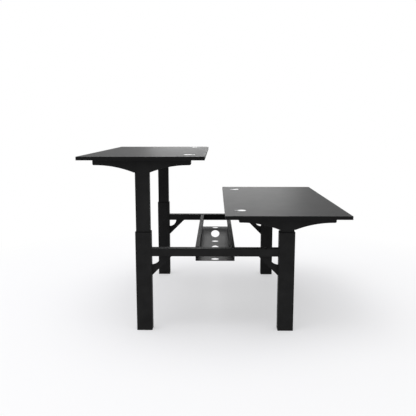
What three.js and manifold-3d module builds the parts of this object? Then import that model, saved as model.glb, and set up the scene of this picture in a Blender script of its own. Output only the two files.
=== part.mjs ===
// Back-to-back height adjustable desk: two worktops that rise and fall on their own pairs of telescopic columns,
// over one shared frame. Millimetres, +Z up. The origin is on the floor, in the middle of the frame. X runs from the
// left desk to the right desk, and Y along both worktops, from the front end (-Y) to the rear end (+Y).

import * as THREE from 'three';
import { mergeVertices } from 'three/addons/utils/BufferGeometryUtils.js';
import Module from 'manifold-3d';

const wasm = await Module();
wasm.setup();

// ---- driving dimensions ----

const SIDES = { left: -1, right: 1 };
const ENDS = { front: -1, rear: 1 };

const topDepth = 700;
const topLength = 1400;
const topThickness = 20;
const topCorner = 2;
const topGap = 112;
const topHeight = { left: 1016, right: 692 };
const lowestTop = 692;

const columnX = 410;
const columnY = 587;
const outerTube = { x: 90, y: 60, wall: 2.5, radius: 5, top: 585 };
const innerTube = { x: 80, y: 50, wall: 2, radius: 4, lowestBottom: 35 };
const collarLip = 5;
const collarDepth = 40;

const beam = { y: 50, z: 45, wall: 2, radius: 3, top: 487 };
const gusset = { leg: 116, hole: 52, blunt: 3, thickness: 5 };

const rail = { x: 25, z: 40, wall: 2, radius: 2.5, outerX: 115 };
const tray = { halfX: 115, halfY: 530, floor: 397, sheet: 2, flange: 23, bend: 4 };
const trayHole = { roundR: 23, roundY: 488, ovalY: 258, ovalX: 30.5, ovalHalf: 130 };

const bracket = { halfLength: 275, y: 60, sheet: 3, endDrop: 32, arcReach: 260, arcR: 585, flatHalf: 45, corner: 7 };
const gearbox = { x: 76, y: 50, z: 60, radius: 3, socket: 30 };
const motor = { radius: 25, reach: 135, capRadius: 21, capLength: 14, drop: 33, clearance: 1.5 };
const stretcher = { offsetX: 150, x: 40, z: 25, wall: 1.5, radius: 2 };

const spindle = { radius: 8, bottom: 45, collarR: 14, collarZ: 10, chamfer: 2, clearance: 1 };
const nutTube = { innerR: 9.5, outerR: 12, nutR: 17, nutBottom: 520, nutTop: 560, nutBore: 8.6, taper: 2 };
const foot = { base: 3, plug: 20, wall: 2, bossR: 17, bossZ: 12 };

const grommet = {
  edgeX: 99.5,
  endY: 188,
  radius: 25,
  rise: 1.8,
  rebate: 1.5,
  tongue: 16,
  tongueReach: 40,
  lip: 2,
  sleeveR: 23,
  wall: 1.5,
};
const handset = { x: 50, y: 110, z: 24, inset: 3, alongY: 250, radius: 3, pocket: 4 };
const button = { y: 17, z: 11, gap: 12, proud: 1.6, seat: 1.5, radius: 3, clearance: 0.4 };
const controlBox = { x: 100, y: 240, z: 30, alongY: 180, radius: 6 };

const gap = 0.3;
const overlap = 1;
const weldDistance = 1e-4;
const cornerSegments = 1;
const roundSegments = 8;
const turnedSegments = 18;

// ---- places worked out from the driving dimensions ----

const innerEdge = topGap / 2;
const topCentreX = innerEdge + topDepth / 2;
const headDrop = bracket.sheet + gearbox.z;
const innerLength = lowestTop - topThickness - headDrop - innerTube.lowestBottom;
const spindleLength = lowestTop - topThickness - headDrop - spindle.bottom;
const beamSpan = 2 * columnX - outerTube.x;
const beamInnerY = columnY - beam.y / 2;
const bracketInnerY = columnY - bracket.y / 2;
const undersideOf = (side) => topHeight[side] - topThickness;

// ---- materials ----

const makeMaterial = (color, roughness, metalness) => new THREE.MeshStandardMaterial({ color, roughness, metalness });

const materials = {
  laminate: makeMaterial(0x242425, 0.35, 0),
  powderCoat: makeMaterial(0x1d1d1e, 0.45, 0),
  blackPlastic: makeMaterial(0x161617, 0.5, 0),
  lightPlastic: makeMaterial(0xe2e3e4, 0.35, 0),
  castAluminium: makeMaterial(0x8d8f92, 0.5, 1),
  steel: makeMaterial(0xb4b6b8, 0.3, 1),
  rubber: makeMaterial(0x3a3b3d, 0.8, 0),
};

// ---- outlines ----

function roundedRectangle(width, height, radius, centreX = 0, centreY = 0) {
  const shape = new THREE.Shape();
  const x = width / 2 - radius;
  const y = height / 2 - radius;
  shape.absarc(centreX + x, centreY + y, radius, 0, Math.PI / 2);
  shape.absarc(centreX - x, centreY + y, radius, Math.PI / 2, Math.PI);
  shape.absarc(centreX - x, centreY - y, radius, Math.PI, 1.5 * Math.PI);
  shape.absarc(centreX + x, centreY - y, radius, 1.5 * Math.PI, 2 * Math.PI);
  shape.closePath();
  return shape;
}

function tubeSection(width, height, wall, radius) {
  const section = roundedRectangle(width, height, radius);
  section.holes.push(roundedRectangle(width - 2 * wall, height - 2 * wall, radius - wall));
  return section;
}

// ---- solids ----

function extrude(shape, depth, curveSegments = cornerSegments) {
  return new THREE.ExtrudeGeometry(shape, { depth, curveSegments, bevelEnabled: false });
}

// An outline drawn in X and Z, pushed out along Y on both sides of Y = 0.
function extrudeAlongY(shape, depth, curveSegments) {
  return extrude(shape, depth, curveSegments).rotateX(Math.PI / 2).translate(0, depth / 2, 0);
}

// An outline drawn in Y and Z, pushed out along X on both sides of X = 0.
function extrudeAlongX(shape, depth, curveSegments) {
  return extrude(shape, depth, curveSegments).rotateX(Math.PI / 2).rotateZ(Math.PI / 2).translate(-depth / 2, 0, 0);
}

function block(x, y, z, centreX = 0, centreY = 0, bottom = 0) {
  return new THREE.BoxGeometry(x, y, z).translate(centreX, centreY, bottom + z / 2);
}

function roundedBlock(x, y, z, radius, centreX = 0, centreY = 0, bottom = 0) {
  return extrude(roundedRectangle(x, y, radius, centreX, centreY), z).translate(0, 0, bottom);
}

// A solid of revolution about Z, from [radius, height] points that start and end on the axis or close on themselves.
function revolve(points) {
  const profile = points.map(([radius, height]) => new THREE.Vector2(radius, height));
  return new THREE.LatheGeometry(profile, turnedSegments).rotateX(Math.PI / 2);
}

function toManifold(geometry) {
  const bare = geometry.index ? geometry.toNonIndexed() : geometry.clone();
  bare.deleteAttribute('normal');
  bare.deleteAttribute('uv');
  const merged = mergeVertices(bare, weldDistance);
  return new wasm.Manifold(new wasm.Mesh({
    numProp: 3,
    vertProperties: new Float32Array(merged.attributes.position.array),
    triVerts: new Uint32Array(merged.index.array),
  }));
}

function toGeometry(manifold) {
  const { vertProperties, triVerts } = manifold.getMesh();
  const geometry = new THREE.BufferGeometry();
  geometry.setAttribute('position', new THREE.BufferAttribute(vertProperties, 3));
  geometry.setIndex(new THREE.BufferAttribute(triVerts, 1));
  return geometry;
}

function join(...geometries) {
  return toGeometry(geometries.map(toManifold).reduce((whole, piece) => whole.add(piece)));
}

function cut(geometry, ...cutters) {
  return toGeometry(cutters.map(toManifold).reduce((whole, piece) => whole.subtract(piece), toManifold(geometry)));
}

const desk = new THREE.Group();

function place(name, geometry, material, x = 0, y = 0, z = 0, turn = 0) {
  const mesh = new THREE.Mesh(geometry, material);
  mesh.name = name;
  mesh.position.set(x, y, z);
  mesh.rotation.z = turn;
  desk.add(mesh);
}

// ---- shared frame ----

function outerColumn() {
  const section = tubeSection(outerTube.x, outerTube.y, outerTube.wall, outerTube.radius);
  return extrude(section, outerTube.top - collarLip - foot.base).translate(0, 0, foot.base);
}

// The foot closes the tube's lower end and stands on the floor. Its boss holds the lower end of the nut tube.
function footCap() {
  const plugX = outerTube.x - 2 * (outerTube.wall + gap);
  const plugY = outerTube.y - 2 * (outerTube.wall + gap);
  const plug = tubeSection(plugX, plugY, foot.wall, outerTube.radius - outerTube.wall);
  const boss = new THREE.Shape().absarc(0, 0, foot.bossR, 0, 2 * Math.PI);
  boss.holes.push(new THREE.Path().absarc(0, 0, nutTube.outerR + gap, 0, 2 * Math.PI));
  return join(
    roundedBlock(outerTube.x, outerTube.y, foot.base, outerTube.radius),
    extrude(plug, foot.plug + overlap).translate(0, 0, foot.base - overlap),
    extrude(boss, foot.bossZ + overlap, roundSegments).translate(0, 0, foot.base - overlap),
  );
}

// The sliding collar fills the gap between the two tubes, and its lip covers the outer tube's upper end.
function collar() {
  const bore = roundedRectangle(innerTube.x + 2 * gap, innerTube.y + 2 * gap, innerTube.radius);
  const sleeveX = outerTube.x - 2 * (outerTube.wall + gap);
  const sleeveY = outerTube.y - 2 * (outerTube.wall + gap);
  const sleeve = roundedRectangle(sleeveX, sleeveY, outerTube.radius - outerTube.wall);
  const lip = roundedRectangle(outerTube.x, outerTube.y, outerTube.radius);
  const height = collarDepth + collarLip;
  const body = join(
    extrude(lip, collarLip).translate(0, 0, outerTube.top - collarLip),
    extrude(sleeve, height).translate(0, 0, outerTube.top - height),
  );
  return cut(body, extrude(bore, height + 2 * overlap).translate(0, 0, outerTube.top - height - overlap));
}

// A tube that stands on the foot and carries the spindle's nut at its top.
function nutTubeSolid() {
  const bottom = foot.base + gap;
  return revolve([
    [nutTube.innerR, bottom],
    [nutTube.outerR, bottom],
    [nutTube.outerR, nutTube.nutBottom],
    [nutTube.nutR, nutTube.nutBottom],
    [nutTube.nutR, nutTube.nutTop],
    [nutTube.nutBore, nutTube.nutTop],
    [nutTube.nutBore, nutTube.nutBottom],
    [nutTube.innerR, nutTube.nutBottom - nutTube.taper],
    [nutTube.innerR, bottom],
  ]);
}

function crossbeam() {
  const section = tubeSection(beam.y, beam.z, beam.wall, beam.radius);
  return extrudeAlongX(section, beamSpan).translate(0, 0, beam.top - beam.z / 2);
}

// A flat corner plate: a 45 degree outer edge and a quarter-round hole in the corner. The corner is at the local
// origin, the beam runs along +X and the column down along -Z.
function gussetPlate() {
  const shape = new THREE.Shape();
  shape.moveTo(gusset.hole, 0);
  shape.lineTo(gusset.leg, 0);
  shape.lineTo(gusset.leg, -gusset.blunt);
  shape.lineTo(gusset.blunt, -gusset.leg);
  shape.lineTo(0, -gusset.leg);
  shape.lineTo(0, -gusset.hole);
  shape.absarc(0, 0, gusset.hole, -Math.PI / 2, 0);
  return extrudeAlongY(shape, gusset.thickness, roundSegments / 2);
}

function trayRail() {
  const section = tubeSection(rail.x, rail.z, rail.wall, rail.radius);
  return extrudeAlongY(section, 2 * beamInnerY).translate(0, 0, beam.top - rail.z / 2);
}

// A folded trough that hangs under the two rails: floor, two walls and a flange along the top of each wall.
function cableTray() {
  const top = beam.top - rail.z;
  const height = top - tray.floor + tray.sheet;
  const centreZ = top - height / 2;
  const outer = roundedRectangle(2 * tray.halfX, height, tray.bend, 0, centreZ);
  const innerHeight = height - 2 * tray.sheet;
  outer.holes.push(roundedRectangle(2 * (tray.halfX - tray.sheet), innerHeight, tray.bend - tray.sheet, 0, centreZ));
  const mouth = block(2 * (tray.halfX - tray.flange), 2 * (tray.halfY + overlap), 3 * tray.sheet, 0, 0, top - 2 * tray.sheet);
  const rounds = [-trayHole.roundY, 0, trayHole.roundY].map((y) => {
    const circle = new THREE.Shape().absarc(0, y, trayHole.roundR, 0, 2 * Math.PI);
    return extrude(circle, 3 * tray.sheet, roundSegments).translate(0, 0, tray.floor - 2 * tray.sheet);
  });
  const ovals = [-trayHole.ovalY, trayHole.ovalY].map((y) => {
    const ellipse = new THREE.Shape().absellipse(0, y, trayHole.ovalX, trayHole.ovalHalf, 0, 2 * Math.PI);
    return extrude(ellipse, 3 * tray.sheet, 2 * roundSegments).translate(0, 0, tray.floor - 2 * tray.sheet);
  });
  return cut(extrudeAlongY(outer, 2 * tray.halfY), mouth, ...rounds, ...ovals);
}

// ---- desks ----

// A worktop with a stepped hole for each grommet. Local X points from the user to the desk's back edge, and Z = 0 is
// its top.
function worktop() {
  const board = roundedRectangle(topDepth, topLength, topCorner);
  const sleeve = grommetOutline(grommet.sleeveR + gap, grommet.tongue - 2 * grommet.lip + 2 * gap, -grommet.lip + gap);
  const flange = grommetOutline(grommet.radius + gap, grommet.tongue + 2 * gap, gap);
  const holes = Object.values(ENDS).flatMap((end) => {
    const hole = extrude(sleeve, topThickness + 2 * overlap, roundSegments).translate(0, 0, -topThickness - overlap);
    const step = extrude(flange, grommet.rebate + overlap, roundSegments).translate(0, 0, -grommet.rebate);
    const y = end * (topLength / 2 - grommet.endY);
    return [hole, step].map((cutter) => cutter.translate(topDepth / 2 - grommet.edgeX, y, 0));
  });
  return cut(extrude(board, topThickness).translate(0, 0, -topThickness), ...holes);
}

// A disc with a square tongue that points to the desk's back edge.
function grommetOutline(radius, tongueWidth, reachOffset) {
  const half = tongueWidth / 2;
  const rootX = Math.sqrt(radius * radius - half * half);
  const start = Math.asin(half / radius);
  const shape = new THREE.Shape();
  shape.moveTo(rootX, half);
  shape.absarc(0, 0, radius, start, 2 * Math.PI - start);
  shape.lineTo(grommet.tongueReach + reachOffset, -half);
  shape.lineTo(grommet.tongueReach + reachOffset, half);
  return shape;
}

// The grommet's flange lies in the hole's step and stands a little proud of the worktop. Its cap closes the round part,
// and the cables leave through the slot in its tongue.
function grommetSolid() {
  const sleeveWidth = grommet.tongue - 2 * grommet.lip;
  const slotWidth = sleeveWidth - 2 * grommet.wall;
  const slotReach = -grommet.lip - grommet.wall;
  const slotLength = grommet.tongueReach + slotReach - grommet.radius;
  const through = 2 * topThickness;
  const flangeOutline = grommetOutline(grommet.radius, grommet.tongue, 0);
  const flange = extrude(flangeOutline, grommet.rebate + grommet.rise, roundSegments).translate(0, 0, -grommet.rebate);
  const sleeveOutline = grommetOutline(grommet.sleeveR, sleeveWidth, -grommet.lip);
  const insideOutline = grommetOutline(grommet.sleeveR - grommet.wall, slotWidth, slotReach);
  return cut(
    join(flange, extrude(sleeveOutline, topThickness, roundSegments).translate(0, 0, -topThickness)),
    extrude(insideOutline, through, roundSegments).translate(0, 0, -through - grommet.rebate),
    block(slotLength, slotWidth, 2 * through, grommet.radius + slotLength / 2, 0, -through),
  );
}

// The lower edge of a side bracket runs level at both ends and sweeps down in an arc to the column in the middle.
function bracketOutline() {
  const { halfLength, endDrop, arcReach, arcR, flatHalf, corner } = bracket;
  const run = arcReach - flatHalf;
  const sweep = Math.asin(run / arcR);
  const arcCentreZ = -endDrop - arcR;
  const shape = new THREE.Shape();
  shape.moveTo(halfLength, 0);
  shape.lineTo(-halfLength, 0);
  shape.lineTo(-halfLength, -endDrop + corner);
  shape.absarc(-halfLength + corner, -endDrop + corner, corner, Math.PI, 1.5 * Math.PI);
  shape.absarc(-arcReach, arcCentreZ, arcR, Math.PI / 2, Math.PI / 2 - sweep, true);
  shape.absarc(arcReach, arcCentreZ, arcR, Math.PI / 2 + sweep, Math.PI / 2, true);
  shape.absarc(halfLength - corner, -endDrop + corner, corner, 1.5 * Math.PI, 2 * Math.PI);
  return shape;
}

// A pressed channel, open below, that carries the worktop on the column. The motor passes through its inner flange.
function sideBracket() {
  const { halfLength, sheet, y } = bracket;
  const depth = 2 * headDrop;
  const hollow = block(2 * (halfLength - sheet), y - 2 * sheet, depth, 0, 0, -sheet - depth);
  const motorHole = new THREE.Shape().absarc(0, -motor.drop, motor.radius + motor.clearance, 0, 2 * Math.PI);
  const holeCutter = extrudeAlongY(motorHole, y / 2, roundSegments).translate(0, y / 2, 0);
  return cut(extrudeAlongY(bracketOutline(), y, roundSegments / 2), hollow, holeCutter);
}

function innerColumn() {
  const section = tubeSection(innerTube.x, innerTube.y, innerTube.wall, innerTube.radius);
  return extrude(section, innerLength).translate(0, 0, -headDrop - innerLength);
}

// Gearbox on top of the inner tube, with the motor lying along +Y beside it. The spindle's end turns in its socket.
function motorUnit() {
  const barrel = (radius, start, end) => {
    const circle = new THREE.Shape().absarc(0, -motor.drop, radius, 0, 2 * Math.PI);
    return extrudeAlongY(circle, end - start, roundSegments).translate(0, (start + end) / 2, 0);
  };
  const faceY = gearbox.y / 2;
  const endY = faceY + motor.reach;
  const socket = new THREE.Shape().absarc(0, 0, spindle.radius + gap, 0, 2 * Math.PI);
  return cut(
    join(
      roundedBlock(gearbox.x, gearbox.y, gearbox.z - gap, gearbox.radius, 0, 0, -headDrop + gap),
      barrel(motor.radius, faceY - overlap, endY),
      barrel(motor.capRadius, endY - overlap, endY + motor.capLength),
    ),
    extrude(socket, gearbox.socket + overlap, roundSegments).translate(0, 0, -headDrop - overlap),
  );
}

function spindleSolid() {
  const bottom = -headDrop - spindleLength;
  const top = -headDrop + gearbox.socket - spindle.clearance;
  const collarTop = -headDrop - spindle.clearance;
  return revolve([
    [0, bottom],
    [spindle.radius - spindle.chamfer, bottom],
    [spindle.radius, bottom + spindle.chamfer],
    [spindle.radius, collarTop - spindle.collarZ],
    [spindle.collarR, collarTop - spindle.collarZ],
    [spindle.collarR, collarTop],
    [spindle.radius, collarTop],
    [spindle.radius, top],
    [0, top],
  ]);
}

function stretcherRail() {
  const section = tubeSection(stretcher.x, stretcher.z, stretcher.wall, stretcher.radius);
  return extrudeAlongY(section, 2 * (bracketInnerY - gap)).translate(0, 0, -stretcher.z / 2);
}

// The hand control hangs under the worktop's user edge, and its buttons face the user along -X.
function handsetBody() {
  const pockets = Object.values(ENDS).map((end) => {
    const width = button.y + 2 * button.clearance;
    const height = button.z + 2 * button.clearance;
    return block(2 * handset.pocket, width, height, 0, buttonY(end), -handset.z / 2 - height / 2);
  });
  const shell = roundedRectangle(handset.y, handset.z, handset.radius, 0, -handset.z / 2);
  return cut(extrudeAlongX(shell, handset.x).translate(handset.x / 2, 0, 0), ...pockets);
}

function buttonY(end) {
  return end * (button.y + button.gap) / 2;
}

function buttonSolid() {
  const face = roundedRectangle(button.y, button.z, button.radius, 0, -handset.z / 2);
  const depth = button.proud + button.seat;
  return extrudeAlongX(face, depth).translate(depth / 2 - button.proud, 0, 0);
}

function controlBoxSolid() {
  return roundedBlock(controlBox.x, controlBox.y, controlBox.z, controlBox.radius, 0, 0, -controlBox.z);
}

// ---- assembly: the frame ----

for (const [sideName, side] of Object.entries(SIDES)) {
  for (const [endName, end] of Object.entries(ENDS)) {
    const corner = `${sideName}_${endName}`;
    const x = side * columnX;
    const y = end * columnY;
    place(`${corner}_outer_tube`, outerColumn(), materials.powderCoat, x, y);
    place(`${corner}_foot`, footCap(), materials.blackPlastic, x, y);
    place(`${corner}_collar`, collar(), materials.blackPlastic, x, y);
    place(`${corner}_nut_tube`, nutTubeSolid(), materials.steel, x, y);
    const gussetTurn = side < 0 ? 0 : Math.PI;
    place(`${corner}_gusset`, gussetPlate(), materials.powderCoat, side * beamSpan / 2, y, beam.top - beam.z, gussetTurn);
  }
  place(`${sideName}_tray_rail`, trayRail(), materials.powderCoat, side * (rail.outerX - rail.x / 2));
}
for (const [endName, end] of Object.entries(ENDS)) {
  place(`${endName}_crossbeam`, crossbeam(), materials.powderCoat, 0, end * columnY);
}
place('cable_tray', cableTray(), materials.powderCoat);

// ---- assembly: the two desks ----

for (const [sideName, side] of Object.entries(SIDES)) {
  const under = undersideOf(sideName);
  const faceUser = side < 0 ? 0 : Math.PI;
  const userEdge = side * (innerEdge + topDepth);
  place(`${sideName}_worktop`, worktop(), materials.laminate, side * topCentreX, 0, topHeight[sideName], faceUser);

  for (const [endName, end] of Object.entries(ENDS)) {
    const corner = `${sideName}_${endName}`;
    const x = side * columnX;
    const y = end * columnY;
    const inboard = end < 0 ? 0 : Math.PI;
    place(`${corner}_inner_tube`, innerColumn(), materials.powderCoat, x, y, under);
    place(`${corner}_bracket`, sideBracket(), materials.powderCoat, x, y, under, inboard);
    place(`${corner}_motor`, motorUnit(), materials.castAluminium, x, y, under, inboard);
    place(`${corner}_spindle`, spindleSolid(), materials.steel, x, y, under);
    const grommetX = side * (innerEdge + grommet.edgeX);
    const grommetY = end * (topLength / 2 - grommet.endY);
    place(`${corner}_grommet`, grommetSolid(), materials.lightPlastic, grommetX, grommetY, topHeight[sideName], faceUser);
  }

  const stretchers = { inner: -stretcher.offsetX, outer: stretcher.offsetX };
  for (const [name, offset] of Object.entries(stretchers)) {
    place(`${sideName}_${name}_stretcher`, stretcherRail(), materials.powderCoat, side * (columnX + offset), 0, under);
  }
  const boxY = side * -controlBox.alongY;
  place(`${sideName}_control_box`, controlBoxSolid(), materials.blackPlastic, side * columnX, boxY, under, faceUser);

  const handsetX = userEdge - side * handset.inset;
  const handsetY = side * handset.alongY;
  place(`${sideName}_handset`, handsetBody(), materials.blackPlastic, handsetX, handsetY, under, faceUser);
  for (const [action, end] of Object.entries({ up: 1, down: -1 })) {
    const buttonPlace = handsetY + buttonY(end) * -side;
    place(`${sideName}_${action}_button`, buttonSolid(), materials.rubber, handsetX, buttonPlace, under, faceUser);
  }
}

export default desk;
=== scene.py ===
"""Back-to-back height adjustable desk, dressed for rendering.

Two laminate worktops stand on powder-coated lifting columns, over one shared frame with a cable tray.
Pieces are drawn in millimetres, and become metres when a mesh is made. The studio is laid out in metres."""

import math

import bpy
from mathutils import Matrix, Vector
from mathutils.geometry import tessellate_polygon


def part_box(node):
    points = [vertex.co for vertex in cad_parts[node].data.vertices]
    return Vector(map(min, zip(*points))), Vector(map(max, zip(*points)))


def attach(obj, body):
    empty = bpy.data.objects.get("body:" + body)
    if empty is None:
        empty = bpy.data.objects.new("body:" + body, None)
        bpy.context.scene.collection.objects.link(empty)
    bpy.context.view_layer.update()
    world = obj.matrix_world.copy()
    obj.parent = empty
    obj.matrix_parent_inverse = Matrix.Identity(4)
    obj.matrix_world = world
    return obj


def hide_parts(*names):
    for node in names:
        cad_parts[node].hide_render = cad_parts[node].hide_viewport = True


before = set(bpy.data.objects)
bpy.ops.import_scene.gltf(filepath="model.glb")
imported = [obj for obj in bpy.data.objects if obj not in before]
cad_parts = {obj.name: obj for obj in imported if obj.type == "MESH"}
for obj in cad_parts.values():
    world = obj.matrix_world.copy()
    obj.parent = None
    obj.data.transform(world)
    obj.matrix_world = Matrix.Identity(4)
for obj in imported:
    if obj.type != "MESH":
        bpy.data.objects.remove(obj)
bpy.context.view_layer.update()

MM = 0.001
# A desk is drawn for the left side, and its brackets and motors for the front end. For the other side or
# the other end they are turned this many degrees about Z.
SIDES = {"left": 0, "right": 180}
ENDS = {"front": 0, "rear": 180}

# ---- finishes ----


def linear(code):
    """An sRGB hex colour as linear red, green, blue and alpha."""
    values = [int(code[i : i + 2], 16) / 255 for i in (0, 2, 4)]
    return [v / 12.92 if v <= 0.04045 else ((v + 0.055) / 1.055) ** 2.4 for v in values] + [1.0]


def add(tree, kind, inputs=None, **settings):
    """Adds a node. Each input is a value to set, or another node's output to link."""
    node = tree.nodes.new("ShaderNode" + kind)
    for name, value in settings.items():
        setattr(node, name, value)
    for name, value in (inputs or {}).items():
        if isinstance(value, bpy.types.NodeSocket):
            tree.links.new(value, node.inputs[name])
        else:
            node.inputs[name].default_value = value
    return node


def new_material(name):
    material = bpy.data.materials.new(name)
    material.use_nodes = True
    material.node_tree.nodes.clear()
    return material, material.node_tree


def per_metre(size):
    """The texture scale that makes one grain this many millimetres across."""
    return 1 / (size * MM)


NOISE_DETAIL = 3.0
# The patches and the grain add up to about 1. A finish runs from its darker colour, this much below that,
# to its lighter one, this much above.
SHADE_SPAN = 0.35
# Worn edges with a painted highlight show as a lighter colour this many millimetres in from an edge. It
# starts where the rounded normal leaves the flat one by the first cosine, and is full at the second.
EDGE_RUB_AND_HIGHLIGHT = 1.5
RUB_AND_HIGHLIGHT_STARTS, RUB_AND_HIGHLIGHT_FULL = 0.99, 0.85


def finish(
    name, colours, patch, roughness, grain, height,
    lines=(1, 1, 1), pattern="TexNoise", edge_rub_and_highlight=None, specular=0.5, metallic=0.0,
):
    """A surface with a fine grain, whose colour and gloss also drift a little from patch to patch.

    colours are its darker and lighter hex colours, and roughness its lowest and highest value. The patch,
    the grain and the grain's height are in millimetres. lines squeezes the grain along X, Y and Z, which
    draws it out into lines. The edge colour, if one is given, is a lighter hex colour along the edges:
    partly where hands, packing and cloths have worn them, and partly a painted highlight."""
    material, tree = new_material(name)
    place = add(tree, "TexCoord").outputs["Object"]
    patches = {"Vector": place, "Scale": per_metre(patch), "Detail": NOISE_DETAIL}
    drift = add(tree, "TexNoise", patches).outputs["Fac"]
    drawn = add(tree, "Mapping", {"Vector": place, "Scale": lines}).outputs["Vector"]
    grains = {"Vector": drawn, "Scale": per_metre(grain), "Detail": NOISE_DETAIL}
    relief = add(tree, pattern, grains).outputs[0]
    mixed = add(tree, "Math", {0: drift, 1: relief}, operation="ADD").outputs[0]
    span = {"Value": mixed, "From Min": 1 - SHADE_SPAN, "From Max": 1 + SHADE_SPAN}
    shade = add(tree, "MapRange", span).outputs[0]
    darker, lighter = linear(colours[0]), linear(colours[1])
    tint = add(tree, "Mix", {0: shade, 6: darker, 7: lighter}, data_type="RGBA").outputs[2]
    spread = {"Value": shade, "To Min": roughness[0], "To Max": roughness[1]}
    gloss = add(tree, "MapRange", spread).outputs[0]
    bump = add(tree, "Bump", {"Height": relief, "Distance": height * MM}).outputs[0]
    # A lighter colour along the edges: partly worn, partly a painted highlight.
    if edge_rub_and_highlight:
        flat = add(tree, "NewGeometry").outputs["Normal"]
        rounded = add(tree, "Bevel", {"Radius": EDGE_RUB_AND_HIGHLIGHT * MM}, samples=4).outputs[0]
        facing = add(tree, "VectorMath", {0: flat, 1: rounded}, operation="DOT_PRODUCT").outputs["Value"]
        leaving = {"Value": facing, "From Min": RUB_AND_HIGHLIGHT_STARTS, "From Max": RUB_AND_HIGHLIGHT_FULL}
        edge = add(tree, "MapRange", leaving).outputs[0]
        rub_and_highlight = add(tree, "Math", {0: edge, 1: shade}, operation="MULTIPLY").outputs[0]
        tint = add(tree, "Mix", {0: rub_and_highlight, 6: tint, 7: linear(edge_rub_and_highlight)}, data_type="RGBA").outputs[2]
    inputs = {"Base Color": tint, "Roughness": gloss, "Normal": bump}
    inputs |= {"Specular IOR Level": specular, "Metallic": metallic}
    shader = add(tree, "BsdfPrincipled", inputs)
    add(tree, "OutputMaterial", {"Surface": shader.outputs[0]})
    return material


# Melamine-faced board, pressed against a pearl-grained plate: satin, with a soft broken highlight. The
# real pearl is a millimetre across, and is drawn six times that so that it shows.
pearl_laminate = finish(
    "pearl_laminate", ("0c0c0d", "19191a"),
    patch=90, roughness=(0.48, 0.52), grain=6, height=0.08, specular=0.1,
)
# ABS edge band, extruded and scraped flush: fine lines run along it, drawn three times as wide as the
# scraper leaves them. Its rounded edges are a little lighter, partly worn and partly a painted highlight.
abs_edge_band = finish(
    "abs_edge_band", ("080809", "0c0c0d"),
    patch=60, roughness=(0.42, 0.48), grain=1.5, height=0.02, lines=(0.02, 0.02, 1), edge_rub_and_highlight="1c1c1d",
    specular=0.12,
)
# Polyester powder coat with a fine texture, sprayed on steel and baked: matt from afar, a tight even
# pebble close to, and a trace lighter over edges, where it draws thin: partly worn, partly a painted
# highlight. The real pebble is half a millimetre across, and is drawn at 3 mm.
fine_powder_coat = finish(
    "fine_powder_coat", ("1b1b1b", "272727"),
    patch=70, roughness=(0.47, 0.59), grain=3, height=0.3, edge_rub_and_highlight="373737", specular=0.04,
)
# The tray's powder coat is smooth, so that cables slide: satin, with a faint orange peel 4 mm across.
# Its edges are a little lighter, partly worn and partly a painted highlight.
smooth_powder_coat = finish(
    "smooth_powder_coat", ("1b1b1c", "232324"),
    patch=70, roughness=(0.38, 0.42), grain=4, height=0.02, edge_rub_and_highlight="333335", specular=0.034,
)
# Glass-filled nylon, injection moulded: the darkest and driest black here, with short streaks of fibre
# near its skin. The fibres are 0.3 mm long, and are drawn ten times longer. Its darkness is partly painted
# shade: on the foot caps it stands for the shadow gap at the floor. On the collars it draws the dark line
# at a tube's head.
glass_filled_nylon = finish(
    "glass_filled_nylon", ("050506", "0b0b0c"),
    patch=40, roughness=(0.5, 0.62), grain=1.2, height=0.04, lines=(1, 1, 0.3), specular=0.1,
)
# Nitrile rubber, moulded: soft, dark and matt.
nitrile_rubber = finish(
    "nitrile_rubber", ("0a0a0a", "0f0f0f"),
    patch=12, roughness=(0.7, 0.78), grain=0.8, height=0.01, specular=0.2,
)
# Black ABS moulded in a spark-eroded mould: an even, dry sheen over pits of 0.7 mm, drawn twice as wide.
# Its edges are a little lighter, partly worn and partly a painted highlight.
textured_black_abs = finish(
    "textured_black_abs", ("121213", "1b1b1c"),
    patch=40, roughness=(0.5, 0.6), grain=1.4, height=0.06, pattern="TexVoronoi", edge_rub_and_highlight="2c2c2d",
    specular=0.3,
)
# Light grey ABS moulded in a polished mould: clean and slightly glossy, with faint flow lines.
light_abs = finish(
    "light_abs", ("dcddde", "e6e7e7"),
    patch=30, roughness=(0.38, 0.44), grain=3, height=0.006, lines=(0.2, 1, 1), specular=0.4,
)
# Smoked acrylic window over the hand control's digits: black glass to the eye, smeared by fingers.
smoked_acrylic = finish(
    "smoked_acrylic", ("050506", "09090b"),
    patch=14, roughness=(0.05, 0.16), grain=4, height=0.002,
)
# Die-cast aluminium, bead blasted: a pale, even metal, with the grain of 0.3 mm beads drawn four times
# as large.
blasted_aluminium = finish(
    "blasted_aluminium", ("87898b", "a2a4a6"),
    patch=25, roughness=(0.5, 0.64), grain=1.2, height=0.06, metallic=1.0,
)
# Steel drawn through a die and lightly oiled: bright, with 0.2 mm die lines along the bar, drawn five
# times as wide.
drawn_steel = finish(
    "drawn_steel", ("97999c", "bcbec0"),
    patch=20, roughness=(0.22, 0.38), grain=1, height=0.008, lines=(1, 1, 0.01), metallic=1.0,
)
# Zinc-plated steel screws: silver, blue in some places and straw in others from the passivating bath.
zinc_plate = finish(
    "zinc_plate", ("959aa6", "b9b5a8"),
    patch=4, roughness=(0.28, 0.44), grain=0.6, height=0.006, metallic=1.0,
)
# Moulded silicone rubber keys: matt and soft, and a little darker in the hollows of the grain.
silicone_rubber = finish(
    "silicone_rubber", ("37383a", "47484a"),
    patch=12, roughness=(0.62, 0.8), grain=0.8, height=0.012,
)

# ---- outlines: lists of points ----


def arc(centre, radius, start, end, steps):
    turns = [math.radians(start + (end - start) * step / steps) for step in range(steps + 1)]
    return [(centre[0] + radius * math.cos(t), centre[1] + radius * math.sin(t)) for t in turns]


def circle(radius, steps, centre=(0, 0)):
    return arc(centre, radius, 0, 360, steps)[:-1]


def ellipse(half_x, half_y, steps, centre=(0, 0)):
    return [(centre[0] + half_x * x, centre[1] + half_y * y) for x, y in circle(1, steps)]


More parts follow.
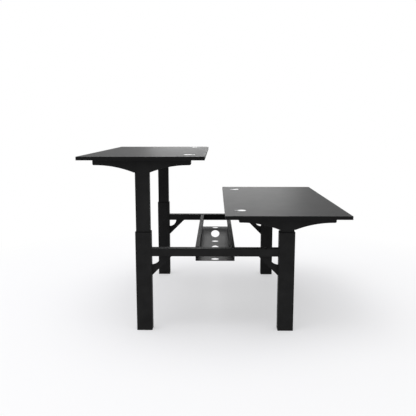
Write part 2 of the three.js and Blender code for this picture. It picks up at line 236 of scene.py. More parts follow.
def rounded_rectangle(width, height, radius, steps=6, centre=(0, 0)):
    points = []
    for quarter, (x, y) in enumerate(((1, 1), (-1, 1), (-1, -1), (1, -1))):
        corner = (centre[0] + x * (width / 2 - radius), centre[1] + y * (height / 2 - radius))
        points += arc(corner, radius, quarter * 90, quarter * 90 + 90, steps)
    return points


def neighbours(outline):
    return zip(outline[-1:] + outline[:-1], outline, outline[1:] + outline[:1])


def anticlockwise(outline):
    area = sum(before[0] * here[1] - here[0] * before[1] for before, here, _ in neighbours(outline))
    return outline if area > 0 else outline[::-1]


def inset(outline, distance):
    """The outline moved into the material, which lies to the left of its direction."""
    points = []
    for before, here, after in neighbours(outline):
        arriving = (Vector(here) - Vector(before)).normalized()
        leaving = (Vector(after) - Vector(here)).normalized()
        sideways = Vector((-arriving.y - leaving.y, arriving.x + leaving.x)) / (1 + arriving.dot(leaving))
        points.append(tuple(Vector(here) + sideways * distance))
    return points


# ---- walls: rings of points, from bottom to top ----

ROUNDING_STEPS = 3


def level(outline, z):
    return [(x, y, z) for x, y in outline]


def rise(outline, z, edge):
    """Rings that start in the flat face at height z and round over into the wall above it."""
    turns = [math.pi / 2 * step / ROUNDING_STEPS for step in range(ROUNDING_STEPS + 1)]
    return [level(inset(outline, edge * (1 - math.sin(t))), z + edge * (1 - math.cos(t))) for t in turns]


def crest(outline, z, edge):
    """Rings that round over from the wall into the flat face at height z above it."""
    turns = [math.pi / 2 * step / ROUNDING_STEPS for step in range(ROUNDING_STEPS, -1, -1)]
    return [level(inset(outline, edge * (1 - math.sin(t))), z - edge * (1 - math.cos(t))) for t in turns]


def wall(outline, low, high, edge):
    outline = anticlockwise(outline)
    return rise(outline, low, edge) + crest(outline, high, edge)


def hole(outline, low, high, edge):
    outline = anticlockwise(outline)[::-1]
    return rise(outline, low, edge) + crest(outline, high, edge)


def stepped_wall(lower, upper, heights, edges):
    """A wall that changes from one outline to another in a flat step, at the second of three heights."""
    low, step, high = heights
    ledge = [level(lower, step), level(upper, step)]
    return rise(lower, low, edges[0]) + ledge + crest(upper, high, edges[1])


# ---- shapes: points and faces ----


def solid(*walls):
    """One closed solid from an outer wall and the walls of its holes."""
    points, faces, bottoms, tops = [], [], [], []
    for rings in walls:
        count = len(rings[0])
        first = len(points)
        points += [point for ring in rings for point in ring]
        for base in range(first, len(points) - count, count):
            for i in range(count):
                j = (i + 1) % count
                faces.append((base + i, base + j, base + count + j, base + count + i))
        bottoms.append(range(first, first + count))
        tops.append(range(len(points) - count, len(points)))
    for loops, facing in ((bottoms, -1), (tops, 1)):
        order = [i for loop in loops for i in loop]
        flat = [[Vector((*points[i][:2], 0)) for i in loop] for loop in loops]
        for triangle in tessellate_polygon(flat):
            a, b, c = (order[i] for i in triangle)
            turn = (Vector(points[b]) - Vector(points[a])).cross(Vector(points[c]) - Vector(points[a])).z
            faces.append((a, b, c) if turn * facing > 0 else (a, c, b))
    return points, faces


def block(outline, low, high, edge=0.1):
    """A solid with one outline from low to high. Its edges are rounded, if only by a hair."""
    return solid(wall(outline, low, high, edge))


def turned(profile, steps):
    """A solid turned about Z, from (radius, height) points."""
    return solid([level(circle(radius, steps), z) for radius, z in profile])


def moved(shape, matrix):
    points, faces = shape
    return [tuple(matrix @ Vector(point)) for point in points], faces


def together(*shapes):
    points, faces = [], []
    for more_points, more_faces in shapes:
        faces += [tuple(i + len(points) for i in face) for face in more_faces]
        points += more_points
    return points, faces


def at(x=0, y=0, z=0, turn=0):
    return Matrix.Translation((x, y, z)) @ Matrix.Rotation(math.radians(turn), 4, "Z")


# A shape is drawn in X and Y and runs up Z. The first two stand it up with its Y upwards, so that it runs
# towards +X or -Y. The others turn it upside down, about X or about Y.
ALONG_X = Matrix(((0, 0, 1, 0), (1, 0, 0, 0), (0, 1, 0, 0), (0, 0, 0, 1)))
ALONG_Y = Matrix.Rotation(math.pi / 2, 4, "X")
TURNED_OVER = Matrix.Rotation(math.pi, 4, "X")
ROLLED_OVER = Matrix.Rotation(math.pi, 4, "Y")


def mesh_of(name, shape):
    points, faces = shape
    mesh = bpy.data.meshes.new(name)
    mesh.from_pydata([Vector(point) * MM for point in points], [], faces)
    return mesh


def carve(shape, *cutters):
    """The shape with every cutter taken out of it."""
    scratch = [bpy.data.objects.new("scratch", mesh_of("scratch", each)) for each in (shape, *cutters)]
    for each in scratch:
        bpy.context.scene.collection.objects.link(each)
    for cutter in scratch[1:]:
        cut = scratch[0].modifiers.new("cut", "BOOLEAN")
        cut.object, cut.operation, cut.solver = cutter, "DIFFERENCE", "EXACT"
    finished = scratch[0].evaluated_get(bpy.context.evaluated_depsgraph_get())
    carved = bpy.data.meshes.new_from_object(finished)
    for each in scratch:
        bpy.data.objects.remove(each)
    points = [tuple(point.co / MM) for point in carved.vertices]
    return points, [tuple(face.vertices) for face in carved.polygons]


# ---- pieces ----

# An edge where the faces turn by more than this stays crisp.
SHARP_FROM = math.radians(38)


def piece(name, shape, material, body, *replaced):
    """Makes a visible piece of the desk, which moves with a body and stands for the nodes it replaces."""
    mesh = mesh_of(name, shape)
    mesh.materials.append(material)
    mesh.shade_smooth()
    mesh.set_sharp_from_angle(angle=SHARP_FROM)
    made = bpy.data.objects.new(name, mesh)
    bpy.context.scene.collection.objects.link(made)
    made.modifiers.new("flat faces stay flat", "WEIGHTED_NORMAL").keep_sharp = True
    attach(made, body)
    if replaced:
        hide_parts(*replaced)


def box_of(node):
    return [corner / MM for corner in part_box(node)]


def middle_of(node):
    low, high = box_of(node)
    return (low + high) / 2


def outer_face(node, side):
    """The X of the node's face that looks away from the cable tray."""
    low, high = box_of(node)
    return high.x if side == "right" else low.x


# ---- tubes ----

# A tube's section is its width, its depth and its outer corner's radius.
COLUMN, COLUMN_SHEET = (90, 60, 5), 2.5
LIFTING_TUBE, LIFTING_SHEET = (80, 50, 4), 2
BEAM, BEAM_SHEET = (50, 45, 3), 2
TRAY_RAIL, TRAY_RAIL_SHEET = (25, 40, 2.4), 2
SUPPORT_RAIL, SUPPORT_RAIL_SHEET = (40, 25, 2), 1.5
SAWN_EDGE = 0.4


def section_outline(section, inwards=0):
    """A tube's section, or one that lies this far inside it."""
    width, depth, radius = section
    return rounded_rectangle(width - 2 * inwards, depth - 2 * inwards, radius - inwards)


def tube(section, sheet, low, high):
    bore = hole(section_outline(section, sheet), low, high, SAWN_EDGE)
    return solid(wall(section_outline(section), low, high, SAWN_EDGE), bore)


# ---- screws ----

# A button-head screw is its head's radius and height, half its socket's width, and its shank's length.
TRAY_SCREW = (5, 2.8, 1.7, 4)
BRACKET_SCREW = (4.5, 2.4, 1.6, 2.5)
# The shank, as a share of the head's radius. The head's rim, its socket's floor and the dimple that the
# drill leaves there, as shares of its height. The dome above the rim, as shares of both.
SHANK = 0.5
RIM, SOCKET_FLOOR, DIMPLE = 0.3, 0.3, 0.25
DOME = ((0.95, 0.6), (0.82, 0.85), (0.62, 1))
HEAD_STEPS = 24


def button_head(radius, height, socket, shank):
    """A button-head screw, with its head above Z = 0 and its shank below."""
    profile = [(SHANK, -shank), (SHANK, 0), (1, 0), (1, height * RIM)]
    profile += [(across, height * up) for across, up in DOME]
    rings = [level(circle(radius * across, HEAD_STEPS), z) for across, z in profile]
    hexagon = []
    for i, (x, y) in enumerate(circle(1, HEAD_STEPS)):
        reach = socket / math.cos(math.radians(i * 360 / HEAD_STEPS % 60 - 30))
        hexagon.append((x * reach, y * reach))
    rings += [level(hexagon, height), level(hexagon, height * SOCKET_FLOOR)]
    return solid(rings + [level(circle(socket / 2, HEAD_STEPS), height * DIMPLE)])


def screws_from_below(head, places, z):
    """Button-head screws put in upwards, with their heads against a sheet's underside at height z."""
    return together(*[moved(button_head(*head), at(x, y, z) @ TURNED_OVER) for x, y in places])


# ---- welds ----

BEAD_RADIUS, BEAD_STEPS = 2.4, 8
# A ripple's length, the rings that draw it, and the share of the bead's radius in the dip between two.
RIPPLE, RIPPLE_RINGS, RIPPLE_DIP = 3, 3, 0.85
# The share of the bead's radius that its tips start from, and what each ring adds to it.
TIP_SIZE, TIP_GROWTH = 0.4, 1 / 6


def seam(start, end):
    """A fillet weld along a straight seam, with the ripples that the torch leaves and thin ends."""
    start, end = Vector(start), Vector(end)
    along = (end - start).normalized()
    across = along.orthogonal().normalized()
    up = along.cross(across)
    last = round((end - start).length / RIPPLE) * RIPPLE_RINGS
    points, faces = [], []
    for ring in range(last + 1):
        taper = min(1, TIP_SIZE + ring * TIP_GROWTH, TIP_SIZE + (last - ring) * TIP_GROWTH)
        swell = BEAD_RADIUS * taper * (1 if ring % RIPPLE_RINGS else RIPPLE_DIP)
        centre = start.lerp(end, ring / last)
        points += [tuple(centre + (across * c + up * s) * swell) for c, s in circle(1, BEAD_STEPS)]
        if ring:
            before, here = (ring - 1) * BEAD_STEPS, ring * BEAD_STEPS
            sides = [(i, (i + 1) % BEAD_STEPS) for i in range(BEAD_STEPS)]
            faces += [(before + i, before + j, here + j, here + i) for i, j in sides]
    faces += [tuple(range(BEAD_STEPS - 1, -1, -1)), tuple(range(last * BEAD_STEPS, len(points)))]
    return points, faces


def end_welds(section, sides):
    """Seams round the end of a tube, where it meets another. Three sides leave out the lowest one."""
    width, depth, corner = section
    x, y = width / 2, depth / 2
    across, up = x - corner, y - corner
    seams = [
        seam((-across, y, 0), (across, y, 0)),
        seam((x, -up, 0), (x, up, 0)),
        seam((-x, -up, 0), (-x, up, 0)),
        seam((-across, -y, 0), (across, -y, 0)),
    ]
    return together(*seams[:sides])


# ---- shared frame ----

# A moulded plug is this much smaller all round than the tube that it is pushed into.
MOULDED_FIT = 0.3
COLLAR_BORE = (80.6, 50.6, 4.2)
FOOT_EDGES, COLLAR_EDGES, BORE_EDGE = (0.9, 0.6), (0.5, 0.9), 0.6


def make_column(corner):
    """A column's fixed tube, its foot cap, and the collar at its head that the lifting tube slides in."""
    low, high = box_of(f"{corner}_outer_tube")
    centre = middle_of(f"{corner}_outer_tube")
    place = at(centre.x, centre.y)
    column = tube(COLUMN, COLUMN_SHEET, low.z, high.z)
    piece(f"{corner}_column", moved(column, place), fine_powder_coat, "frame", f"{corner}_outer_tube")

    skin, plug = section_outline(COLUMN), section_outline(COLUMN, COLUMN_SHEET + MOULDED_FIT)
    sole, plug_top = box_of(f"{corner}_foot")
    cap = solid(stepped_wall(skin, plug, (sole.z, low.z, plug_top.z), FOOT_EDGES))
    # The foot cap's darkest black also paints the shadow gap where it meets the floor.
    piece(f"{corner}_foot_cap", moved(cap, place), glass_filled_nylon, "frame", f"{corner}_foot")

    plug_end, crown = box_of(f"{corner}_collar")
    bore = hole(rounded_rectangle(*COLLAR_BORE), plug_end.z, crown.z, BORE_EDGE)
    collar = solid(stepped_wall(plug, skin, (plug_end.z, high.z, crown.z), COLLAR_EDGES), bore)
    piece(f"{corner}_glide_collar", moved(collar, place), glass_filled_nylon, "frame", f"{corner}_collar")


def make_welded_tube(name, node, section, sheet, place, low, high, welded_sides=4):
    """A tube of the shared frame, from low to high in its own place, and the welds at both of its ends."""
    piece(name, moved(tube(section, sheet, low, high), place), fine_powder_coat, "frame", node)
    welds = together(*[moved(end_welds(section, welded_sides), at(z=end)) for end in (low, high)])
    piece(f"{name}_welds", moved(welds, place), fine_powder_coat, "frame")


def make_beam(end):
    node = f"{end}_crossbeam"
    low, high = box_of(node)
    centre = middle_of(node)
    place = at(0, centre.y, centre.z) @ ALONG_X
    make_welded_tube(f"{end}_beam", node, BEAM, BEAM_SHEET, place, low.x, high.x)


def make_tray_rail(side):
    """A rail along one side of the tray. Its ends are welded to the beams on all sides but the lowest."""
    node = f"{side}_tray_rail"
    low, high = box_of(node)
    place = at(*middle_of(node)) @ ALONG_Y
    make_welded_tube(f"{side}_rail", node, TRAY_RAIL, TRAY_RAIL_SHEET, place, low.y, high.y, welded_sides=3)


# A corner plate is a triangle with a quarter circle cut out of its square corner, and its two tips cut
# blunt. Its welds stop a little short of the arc and of the tips.
PLATE_ARC, PLATE_TIP, PLATE_EDGE, WELD_SHORT = 52, 3, 0.7, 4


def make_corner_plate(side, end):
    """The plate in the corner between a column and its beam, and its welds to them on both faces."""
    corner = f"{side}_{end}"
    node = f"{corner}_gusset"
    low, high = box_of(node)
    leg, half = high.z - low.z, (high.y - low.y) / 2
    outline = arc((0, 0), PLATE_ARC, -90, 0, steps=20)
    outline += [(leg, 0), (leg, -PLATE_TIP), (PLATE_TIP, -leg), (0, -leg)]
    plate = moved(block(outline, -half, half, PLATE_EDGE), ALONG_Y)
    starts, stops = PLATE_ARC + WELD_SHORT, leg - WELD_SHORT
    welds = []
    for face in (-half, half):
        welds.append(seam((starts, face, 0), (stops, face, 0)))
        welds.append(seam((0, face, -starts), (0, face, -stops)))
    place = at(outer_face(node, side), low.y + half, high.z, SIDES[side])
    piece(f"{corner}_corner_plate", moved(plate, place), fine_powder_coat, "frame", node)
    piece(f"{corner}_corner_welds", moved(together(*welds), place), fine_powder_coat, "frame")


for side in SIDES:
    for end in ENDS:
        make_column(f"{side}_{end}")
        # The lifting gear inside a column is shown as the frame has it, in steel.
        for node in ("nut_tube", "spindle"):
            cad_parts[f"{side}_{end}_{node}"].data.materials[0] = drawn_steel
for end in ENDS:
    make_beam(end)
for side in SIDES:
    make_tray_rail(side)
for side in SIDES:
    for end in ENDS:
        make_corner_plate(side, end)

# ---- cable tray ----

TRAY_SHEET, TRAY_BEND, TRAY_FLANGE, TRAY_EDGE = 2, 4, 23, 0.3
ROUND_HOLE, ROUND_HOLES_Y = 23, (-488, 0, 488)
OVAL_HOLE, OVAL_HOLES_Y = (30.5, 130), (-258, 258)
# The punches reach this far below and above the tray's underside.
PUNCH_BELOW, PUNCH_ABOVE = 5, 8
TRAY_SCREWS_AT = [(x, y) for x in (-102.5, 102.5) for y in (-420, 0, 420)]


def folded_edge(half_width, depth, inwards):
    """Half of the tray's section, from its floor round both bends to a flange's tip, this far inwards."""
    bend_x, radius = half_width - TRAY_BEND, TRAY_BEND - inwards
    points = arc((bend_x, TRAY_BEND), radius, -90, 0, steps=6)
    points += arc((bend_x, depth - TRAY_BEND), radius, 0, 90, steps=6)
    return points + [(half_width - TRAY_FLANGE, depth - inwards)]


def make_tray():
    """One folded sheet with a flange under each rail and holes punched in its floor, and its screws."""
    low, high = box_of("cable_tray")
    skin, inside = (folded_edge(high.x, high.z - low.z, inwards) for inwards in (0, TRAY_SHEET))
    section = skin + inside[::-1] + [(-x, z) for x, z in inside] + [(-x, z) for x, z in skin[::-1]]
    trough = moved(block(section, low.y, high.y, TRAY_EDGE), at(z=low.z) @ ALONG_Y)
    openings = [circle(ROUND_HOLE, steps=40, centre=(0, y)) for y in ROUND_HOLES_Y]
    openings += [ellipse(*OVAL_HOLE, steps=64, centre=(0, y)) for y in OVAL_HOLES_Y]
    punches = [block(opening, low.z - PUNCH_BELOW, low.z + PUNCH_ABOVE) for opening in openings]
    piece("tray", carve(trough, *punches), smooth_powder_coat, "frame", "cable_tray")
    screws = screws_from_below(TRAY_SCREW, TRAY_SCREWS_AT, high.z - TRAY_SHEET)
    piece("tray_screws", screws, zinc_plate, "frame")


make_tray()

# ---- worktops and cable ports ----

BAND, BAND_CORNER, BAND_EDGE = 2, 3, 1.0
# The board is this much smaller than the space inside its band.
GLUE_GAP, BOARD_EDGE = 0.1, 0.15

# A cable port is a disc with a square tongue towards the tray: each of its outlines is the disc's radius,
# the tongue's width, and the tongue's reach from the disc's middle. That middle is this far from the
# worktop's.
PORT_X, PORT_Y = 250.5, 512
PORT_FLANGE, PORT_SLEEVE, PORT_BORE = (25, 16, 40), (23, 12, 38), (21.5, 9, 36.5)
# Heights are from the worktop's upper face. The flange lies on a seat below it.
PORT_SEAT, PORT_TOP = -1.5, 1.8
PORT_FIT, PORT_EDGES, PORT_BORE_EDGE, OPENING_EDGE = 0.3, (0.3, 0.8), 0.3, 0.2
CAP_LOW, CAP_HIGH, CAP_EDGE = 0.2, 1.7, 0.4
# Two rubber lips close the tongue's slot, and leave a slit between them for cables.
LIP_LENGTH, LIP_WIDTH, LIP_CORNER, LIP_HIGH = 14.6, 4.3, 0.5, 1.2
LIP_X, LIPS_Y = 29.2, (-2.35, 2.35)


def port_outline(size, gap=0, x=0, y=0):
    """A disc with a square tongue along +X, larger all round by a gap."""
    radius, half_tongue, reach = size[0] + gap, size[1] / 2 + gap, size[2] + gap
    start = math.degrees(math.asin(half_tongue / radius))
    tip = [(x + reach, y - half_tongue), (x + reach, y + half_tongue)]
    return arc((x, y), radius, start, 360 - start, steps=40) + tip


def port_opening(y, thickness):
    """The wall of the stepped opening in a board for one cable port."""
    sleeve, flange = (port_outline(size, PORT_FIT, PORT_X, y)[::-1] for size in (PORT_SLEEVE, PORT_FLANGE))
    return stepped_wall(sleeve, flange, (-thickness, PORT_SEAT, 0), (OPENING_EDGE, BOARD_EDGE))


def make_worktop(side):
    """The edge band, and the laminated board inside it, with an opening at each end for a cable port."""
    low, high = box_of(f"{side}_worktop")
    width, length, thickness = high.x - low.x, high.y - low.y, high.z - low.z
    place = at(middle_of(f"{side}_worktop").x, 0, high.z, SIDES[side])
    outside = wall(rounded_rectangle(width, length, BAND_CORNER), -thickness, 0, BAND_EDGE)
    width, length = width - 2 * BAND, length - 2 * BAND
    inside = hole(rounded_rectangle(width, length, BAND_CORNER - BAND), -thickness, 0, BOARD_EDGE)
    piece(f"{side}_edge_band", moved(solid(outside, inside), place), abs_edge_band, f"{side}_desk")

    outline = rounded_rectangle(width - GLUE_GAP, length - GLUE_GAP, BAND_CORNER - BAND)
    openings = [port_opening(y, thickness) for y in (-PORT_Y, PORT_Y)]
    board = moved(solid(wall(outline, -thickness, 0, BOARD_EDGE), *openings), place)
    piece(f"{side}_board", board, pearl_laminate, f"{side}_desk", f"{side}_worktop")


def make_cable_port(side, end):
    """A ring in the worktop with a cap in its disc, and two rubber lips across its tongue."""
    corner, body = f"{side}_{end}", f"{side}_desk"
    low, high = box_of(f"{side}_worktop")
    underside = low.z - high.z
    desk_x, port_y = middle_of(f"{side}_worktop").x, middle_of(f"{corner}_grommet").y
    place = at(desk_x, port_y, high.z, SIDES[side]) @ at(PORT_X)
    sleeve, flange, bore = (port_outline(size) for size in (PORT_SLEEVE, PORT_FLANGE, PORT_BORE))
    skin = stepped_wall(sleeve, flange, (underside, PORT_SEAT, PORT_TOP), PORT_EDGES)
    ring = solid(skin, hole(bore, underside, PORT_TOP, PORT_BORE_EDGE))
    piece(f"{corner}_cable_port", moved(ring, place), light_abs, body, f"{corner}_grommet")
    cap = block(circle(PORT_BORE[0] - PORT_FIT, steps=48), CAP_LOW, CAP_HIGH, CAP_EDGE)
    piece(f"{corner}_cable_port_cap", moved(cap, place), light_abs, body)
    lips = []
    for y in LIPS_Y:
        outline = rounded_rectangle(LIP_LENGTH, LIP_WIDTH, LIP_CORNER, steps=3, centre=(LIP_X, y))
        lips.append(block(outline, CAP_LOW, LIP_HIGH))
    piece(f"{corner}_cable_port_lips", moved(together(*lips), place), nitrile_rubber, body)


# ---- lifting tubes and side brackets ----

# A side bracket is a channel of sheet, open below. Its webs are this high at both ends, dip a little, and
# then sweep down in an arc between these distances from the lifting tube's middle.
BRACKET_SHEET, BRACKET_EDGE = 3, 2.0
CHANNEL_DEPTH, CHANNEL_CORNER, CHANNEL_EDGE = 130, 3, 1.0
WEB_END, WEB_CORNER, WEB_DIP = 32, 7, 0.2
SWEEP_FROM, SWEEP_TO, SWEEP_RADIUS = 260, 45, 585
BRACKET_SCREWS_AT = [(x, 0) for x in (-250, -180, -95, 95, 180, 250)]
# The motor lies along the worktop, and its axis is at this height from the bracket's upper face.
MOTOR_Z = -33
MOTOR_HOLE, MOTOR_HOLE_REACH = 26.5, 50


def make_lifting_tube(side, end):
    corner = f"{side}_{end}"
    low, high = box_of(f"{corner}_inner_tube")
    centre = middle_of(f"{corner}_inner_tube")
    lifting_tube = moved(tube(LIFTING_TUBE, LIFTING_SHEET, low.z, high.z), at(centre.x, centre.y))
    piece(f"{corner}_lifting_tube", lifting_tube, fine_powder_coat, f"{side}_desk", f"{corner}_inner_tube")


def bracket_place(side, end):
    """The middle of a side bracket's upper face, with +Y towards the desk's middle."""
    column = middle_of(f"{side}_{end}_inner_tube")
    upper_face = box_of(f"{side}_{end}_bracket")[1].z
    return at(column.x, column.y, upper_face, ENDS[end])


def bracket_web(half_length):
    """A side bracket's outline, seen along Y, with its upper edge at height 0."""
    corner_x, corner_z = half_length - WEB_CORNER, WEB_CORNER - WEB_END
    centre_z = -WEB_END - WEB_DIP - SWEEP_RADIUS
    sweep = math.degrees(math.asin((SWEEP_FROM - SWEEP_TO) / SWEEP_RADIUS))
    points = [(half_length, 0), (-half_length, 0)]
    points += arc((-corner_x, corner_z), WEB_CORNER, 180, 270, steps=5)
    points += arc((-SWEEP_FROM, centre_z), SWEEP_RADIUS, 90, 90 - sweep, steps=24)
    points += arc((SWEEP_FROM, centre_z), SWEEP_RADIUS, 90 + sweep, 90, steps=24)
    points += arc((corner_x, corner_z), WEB_CORNER, 270, 360, steps=5)
    return points


def make_side_bracket(side, end):
    """The channel between a lifting tube and the worktop, with a hole for the motor, and its screws."""
    corner, body, place = f"{side}_{end}", f"{side}_desk", bracket_place(side, end)
    low, high = box_of(f"{corner}_bracket")
    half_x, half_y = (high.x - low.x) / 2, (high.y - low.y) / 2
    shell = moved(block(bracket_web(half_x), -half_y, half_y, BRACKET_EDGE), ALONG_Y)
    inside = rounded_rectangle(2 * (half_x - BRACKET_SHEET), 2 * (half_y - BRACKET_SHEET), CHANNEL_CORNER)
    channel = block(inside, -CHANNEL_DEPTH, -BRACKET_SHEET, CHANNEL_EDGE)
    motor_hole = block(circle(MOTOR_HOLE, steps=48, centre=(0, MOTOR_Z)), -MOTOR_HOLE_REACH, 0)
    bracket = moved(carve(shell, channel, moved(motor_hole, ALONG_Y)), place)
    piece(f"{corner}_side_bracket", bracket, fine_powder_coat, body, f"{corner}_bracket")
    screws = moved(screws_from_below(BRACKET_SCREW, BRACKET_SCREWS_AT, -BRACKET_SHEET), place)
    piece(f"{corner}_bracket_screws", screws, zinc_plate, body)


# ---- gear motors and support rails ----

GEARBOX, GEARBOX_LOW, GEARBOX_EDGE = (76, 50, 5), -62.7, 2.0
# The mounting flange clamps the motor to the bracket's web, between these distances from the lifting
# tube's middle.
FLANGE, FLANGE_FACES, FLANGE_EDGE = (62, 55, 8), (30.3, 34), 0.6
# The motor's radius at each distance from the lifting tube's middle: its can, the groove that its end
# bell is rolled into, the end bell, and the brush cap with a shallow dish in its end.
CAN = [(24.6, 24.5), (25, 26), (25, 148)]
ROLLED_GROOVE = [(24.2, 149.5), (24.2, 152), (25, 153.5)]
END_BELL = [(25, 158.5), (23.5, 160)]
BRUSH_CAP = [(21, 160), (21, 171), (19.5, 173.2), (17, 174), (9, 174), (8, 173), (2, 173)]


def make_gear_motor(side, end):
    """A gearbox in the bracket's channel, the motor along the worktop, and its mounting flange."""
    gearbox = block(rounded_rectangle(*GEARBOX), GEARBOX_LOW, -BRACKET_SHEET, GEARBOX_EDGE)
    motor = turned(CAN + ROLLED_GROOVE + END_BELL + BRUSH_CAP, steps=40)
    motor = moved(motor, at(z=MOTOR_Z) @ ALONG_Y @ TURNED_OVER)
    flange = block(rounded_rectangle(*FLANGE, centre=(0, MOTOR_Z)), *FLANGE_FACES, FLANGE_EDGE)
    flange = moved(flange, ALONG_Y @ ROLLED_OVER)
    gear_motor = moved(together(gearbox, motor, flange), bracket_place(side, end))
    corner = f"{side}_{end}"
    piece(f"{corner}_gear_motor", gear_motor, blasted_aluminium, f"{side}_desk", f"{corner}_motor")


def make_support_rail(side, where):
    node = f"{side}_{where}_stretcher"
    low, high = box_of(node)
    rail = tube(SUPPORT_RAIL, SUPPORT_RAIL_SHEET, low.y, high.y)
    rail = moved(rail, at(*middle_of(node)) @ ALONG_Y)
    piece(f"{side}_{where}_support_rail", rail, fine_powder_coat, f"{side}_desk", node)


# ---- control box ----

# Heights are from the case's upper face. Its two halves meet in a groove.
CASE_CORNER, CASE_LOWER_EDGE, CASE_UPPER_EDGE = 6, 3.0, 0.5
GROOVE_DEPTH, GROOVE_LOW, GROOVE_HIGH = 0.8, -9.4, -8.6
# A vent and a socket are a width, a height and a corner's radius. Their cutters start outside the case.
VENT, VENT_DEPTH, VENTS_Y = (40, 3, 1.4), 2, range(-42, 43, 7)
SOCKET, SOCKET_DEPTH, SOCKETS_X, SOCKET_Z = (13, 9, 1), 8, (-33, -11, 11, 33), -19
VENT_OUTSIDE, SOCKET_OUTSIDE = 2, 5


def make_control_box(side):
    """The case of the drive's circuit board, with vents in its underside and cable sockets in one end."""
    low, high = box_of(f"{side}_control_box")
    centre = middle_of(f"{side}_control_box")
    width, length, height = high.x - low.x, high.y - low.y, high.z - low.z
    outline = rounded_rectangle(width, length, CASE_CORNER)
    waist = inset(outline, GROOVE_DEPTH)
    groove = [level(outline, GROOVE_LOW), level(waist, GROOVE_LOW)]
    groove += [level(waist, GROOVE_HIGH), level(outline, GROOVE_HIGH)]
    case = solid(rise(outline, -height, CASE_LOWER_EDGE) + groove + crest(outline, 0, CASE_UPPER_EDGE))
    cutters = []
    for y in VENTS_Y:
        vent = rounded_rectangle(*VENT, centre=(0, y))
        cutters.append(block(vent, -height - VENT_OUTSIDE, -height + VENT_DEPTH))
    for x in SOCKETS_X:
        socket = rounded_rectangle(*SOCKET, centre=(x, SOCKET_Z))
        socket = block(socket, length / 2 - SOCKET_DEPTH, length / 2 + SOCKET_OUTSIDE)
        cutters.append(moved(socket, ALONG_Y))
    case = moved(carve(case, *cutters), at(centre.x, centre.y, high.z, SIDES[side]))
    piece(f"{side}_control_case", case, textured_black_abs, f"{side}_desk", f"{side}_control_box")


# ---- hand control ----

CONTROL_CORNER, CONTROL_EDGE = 4, 1.8
# A key's pocket and the display's recess are a width, a height and a corner's radius. What is cut into a
# face or laid in it lies between two depths behind it. A cutter starts in front of the face.
POCKET, POCKET_DEPTHS, POCKETS_Y = (17.8, 11.8, 3.2), (-5, 4), (-14.5, 14.5)
RECESS, RECESS_DEPTHS, RECESS_Y = (24, 12, 1.5), (-5, 1.2), 39
WINDOW_DEPTHS, WINDOW_GAP, WINDOW_EDGE = (0.3, 1.1), 0.15, 0.2
KEY_CORNER, KEY_EDGE = 3, 0.7
# An arrow is a triangle, between these heights from its key's middle. The keys say which way it points.
ARROW_HALF_WIDTH, ARROW_FOOT, ARROW_TIP = 3.6, -1.8, 2.2
ARROW_DEPTHS, ARROW_EDGE = (-1, 0.35), 0.05
INLAY_DEPTHS, INLAY_GAP, INLAY_EDGE = (0.05, 0.33), 0.08, 0.03
KEYS = {"up": 1, "down": -1}


def make_hand_control(side):
    """The control under the worktop's outer edge, with two pockets for keys and a window in a recess."""
    node = f"{side}_handset"
    low, high = box_of(node)
    depth, width, height = high.x - low.x, high.y - low.y, high.z - low.z
    place = at(outer_face(node, side), middle_of(node).y, high.z, SIDES[side]) @ ALONG_X
    z = -height / 2
    shell = rounded_rectangle(width, height, CONTROL_CORNER, centre=(0, z))
    recess = rounded_rectangle(*RECESS, centre=(RECESS_Y, z))
    cutters = [block(rounded_rectangle(*POCKET, centre=(y, z)), *POCKET_DEPTHS) for y in POCKETS_Y]
    cutters.append(block(recess, *RECESS_DEPTHS))
    control = moved(carve(block(shell, 0, depth, CONTROL_EDGE), *cutters), place)
    piece(f"{side}_hand_control", control, textured_black_abs, f"{side}_desk", node)
    window = moved(block(inset(recess, WINDOW_GAP), *WINDOW_DEPTHS, WINDOW_EDGE), place)
    piece(f"{side}_display_window", window, smoked_acrylic, f"{side}_desk")


def make_key(side, action):
    """A rubber key with an arrow sunk into its face, and the light inlay that fills the arrow."""
    node = f"{side}_{action}_button"
    low, high = box_of(node)
    centre = middle_of(node)
    depth, width, height = high.x - low.x, high.y - low.y, high.z - low.z
    place = at(outer_face(node, side), centre.y, centre.z, SIDES[side]) @ ALONG_X
    foot, tip = ARROW_FOOT * KEYS[action], ARROW_TIP * KEYS[action]
    arrow = anticlockwise([(-ARROW_HALF_WIDTH, foot), (ARROW_HALF_WIDTH, foot), (0, tip)])
    key = block(rounded_rectangle(width, height, KEY_CORNER), 0, depth, KEY_EDGE)
    key = moved(carve(key, block(arrow, *ARROW_DEPTHS, ARROW_EDGE)), place)
    piece(f"{side}_{action}_key", key, silicone_rubber, node, node)
    inlay = moved(block(inset(arrow, INLAY_GAP), *INLAY_DEPTHS, INLAY_EDGE), place)
    piece(f"{side}_{action}_key_arrow", inlay, light_abs, node)


for side in SIDES:
    make_worktop(side)
    for end in ENDS:
        make_cable_port(side, end)
        make_lifting_tube(side, end)
        make_side_bracket(side, end)
        make_gear_motor(side, end)
    for where in ("inner", "outer"):
        make_support_rail(side, where)
    make_control_box(side)
    make_hand_control(side)
    for action in KEYS:
        make_key(side, action)

# ---- studio ----

# The floor is a white vinyl sweep. Near the desk half of what the camera sees of it is its lit and shaded
# surface, and that share fades out to plain white further away, as the sweep does in a bright studio.
# Each row is a distance from the middle of the desk and the share of plain white there.
FADE_REACH = 4.0
PLAIN_SHARES = ((0.0, 0.50), (0.5, 0.41), (0.9, 0.47), (1.3, 0.63), (1.8, 0.71), (2.6, 1.0))
# The floor lies a hair below the foot caps.
FLOOR_REACH, FLOOR_DROP = 30, 0.0002
# The share of white with which the room lights the desk.
ROOM_LIGHT = 0.8


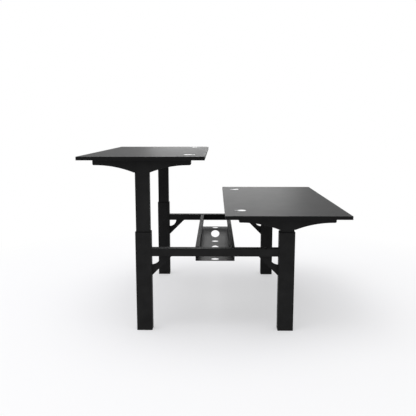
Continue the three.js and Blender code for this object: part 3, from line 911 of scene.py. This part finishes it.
def seen_as_backdrop(tree):
    """1 for what is looked at, also in a mirror or through glass, and 0 for what only lights a surface."""
    rays = add(tree, "LightPath").outputs
    looks = {0: rays["Is Camera Ray"], 1: rays["Is Glossy Ray"]}
    seen = add(tree, "Math", looks, operation="MAXIMUM").outputs[0]
    return add(tree, "Math", {0: seen, 1: rays["Is Transmission Ray"]}, operation="MAXIMUM").outputs[0]


def floor_material():
    material, tree = new_material("white_studio_floor")
    paint = add(tree, "BsdfDiffuse", {"Color": linear("f0f0f4")}).outputs[0]
    plain = add(tree, "Emission", {"Color": linear("ffffff"), "Strength": 1.0}).outputs[0]
    spot = add(tree, "TexCoord").outputs["Object"]
    distance = add(tree, "VectorMath", {0: spot}, operation="LENGTH").outputs["Value"]
    way = add(tree, "Math", {0: distance, 1: FADE_REACH}, operation="DIVIDE").outputs[0]
    share = add(tree, "ValToRGB", {"Fac": way})
    for spare in PLAIN_SHARES[2:]:
        share.color_ramp.elements.new(1.0)
    for stop, (metres, plain_share) in zip(share.color_ramp.elements, PLAIN_SHARES):
        stop.position, stop.color = metres / FADE_REACH, (plain_share, plain_share, plain_share, 1)
    shown = {0: seen_as_backdrop(tree), 1: share.outputs["Color"]}
    amount = add(tree, "Math", shown, operation="MULTIPLY").outputs[0]
    surface = add(tree, "MixShader", {"Fac": amount, 1: paint, 2: plain}).outputs[0]
    add(tree, "OutputMaterial", {"Surface": surface})
    return material


def lay_floor():
    reach, z = FLOOR_REACH / MM, -FLOOR_DROP / MM
    corners = [(-reach, -reach, z), (reach, -reach, z), (reach, reach, z), (-reach, reach, z)]
    mesh = mesh_of("studio_floor", (corners, [(0, 1, 2, 3)]))
    mesh.materials.append(floor_material())
    floor = bpy.data.objects.new("studio_floor", mesh)
    bpy.context.scene.collection.objects.link(floor)


def light_room():
    """White all round to look at, which lights the desk a little less than white would."""
    world = bpy.data.worlds.new("studio")
    bpy.context.scene.world = world
    world.use_nodes = True
    tree = world.node_tree
    tree.nodes.clear()
    light = add(tree, "Background", {"Color": linear("ffffff"), "Strength": ROOM_LIGHT}).outputs[0]
    white = add(tree, "Background", {"Color": linear("ffffff"), "Strength": 1.0}).outputs[0]
    surface = add(tree, "MixShader", {"Fac": seen_as_backdrop(tree), 1: light, 2: white}).outputs[0]
    add(tree, "OutputWorld", {"Surface": surface})


def softbox(name, place, aim, width, height, watts):
    lamp = bpy.data.lights.new(name, "AREA")
    lamp.shape, lamp.size, lamp.size_y, lamp.energy = "RECTANGLE", width, height, watts
    made = bpy.data.objects.new(name, lamp)
    made.location = place
    made.rotation_euler = (Vector(aim) - Vector(place)).to_track_quat("-Z", "Y").to_euler()
    made.visible_camera = False
    bpy.context.scene.collection.objects.link(made)


lay_floor()
light_room()
softbox("overhead_softbox", place=(-1.35, -0.65, 4), aim=(0, 0, 0), width=3, height=3, watts=60)
softbox("backdrop_softbox", place=(0.09, 3, 1.45), aim=(0.09, 0, 1.45), width=1.8, height=0.9, watts=14)

# ---- camera ----

CAMERA_PLACE = (0.004859, -3.512108, 1.178508)
PITCH, YAW, ROLL = math.radians(8.923), math.radians(-0.886), math.radians(-0.030)
SENSOR_WIDTH, FOCAL_LENGTH = 36, 45.09


def set_camera():
    forward = Vector((math.sin(YAW) * math.cos(PITCH), math.cos(YAW) * math.cos(PITCH), -math.sin(PITCH)))
    level_right = Vector((math.cos(YAW), -math.sin(YAW), 0))
    right = level_right * math.cos(ROLL) + level_right.cross(forward) * math.sin(ROLL)
    axes = Matrix((right, right.cross(forward), -forward)).transposed().to_4x4()
    lens = bpy.data.cameras.new("camera")
    lens.sensor_width, lens.lens = SENSOR_WIDTH, FOCAL_LENGTH
    camera = bpy.data.objects.new("camera", lens)
    camera.matrix_world = Matrix.Translation(CAMERA_PLACE) @ axes
    bpy.context.scene.collection.objects.link(camera)
    bpy.context.scene.camera = camera


set_camera()
bpy.context.scene.view_settings.view_transform = "Standard"
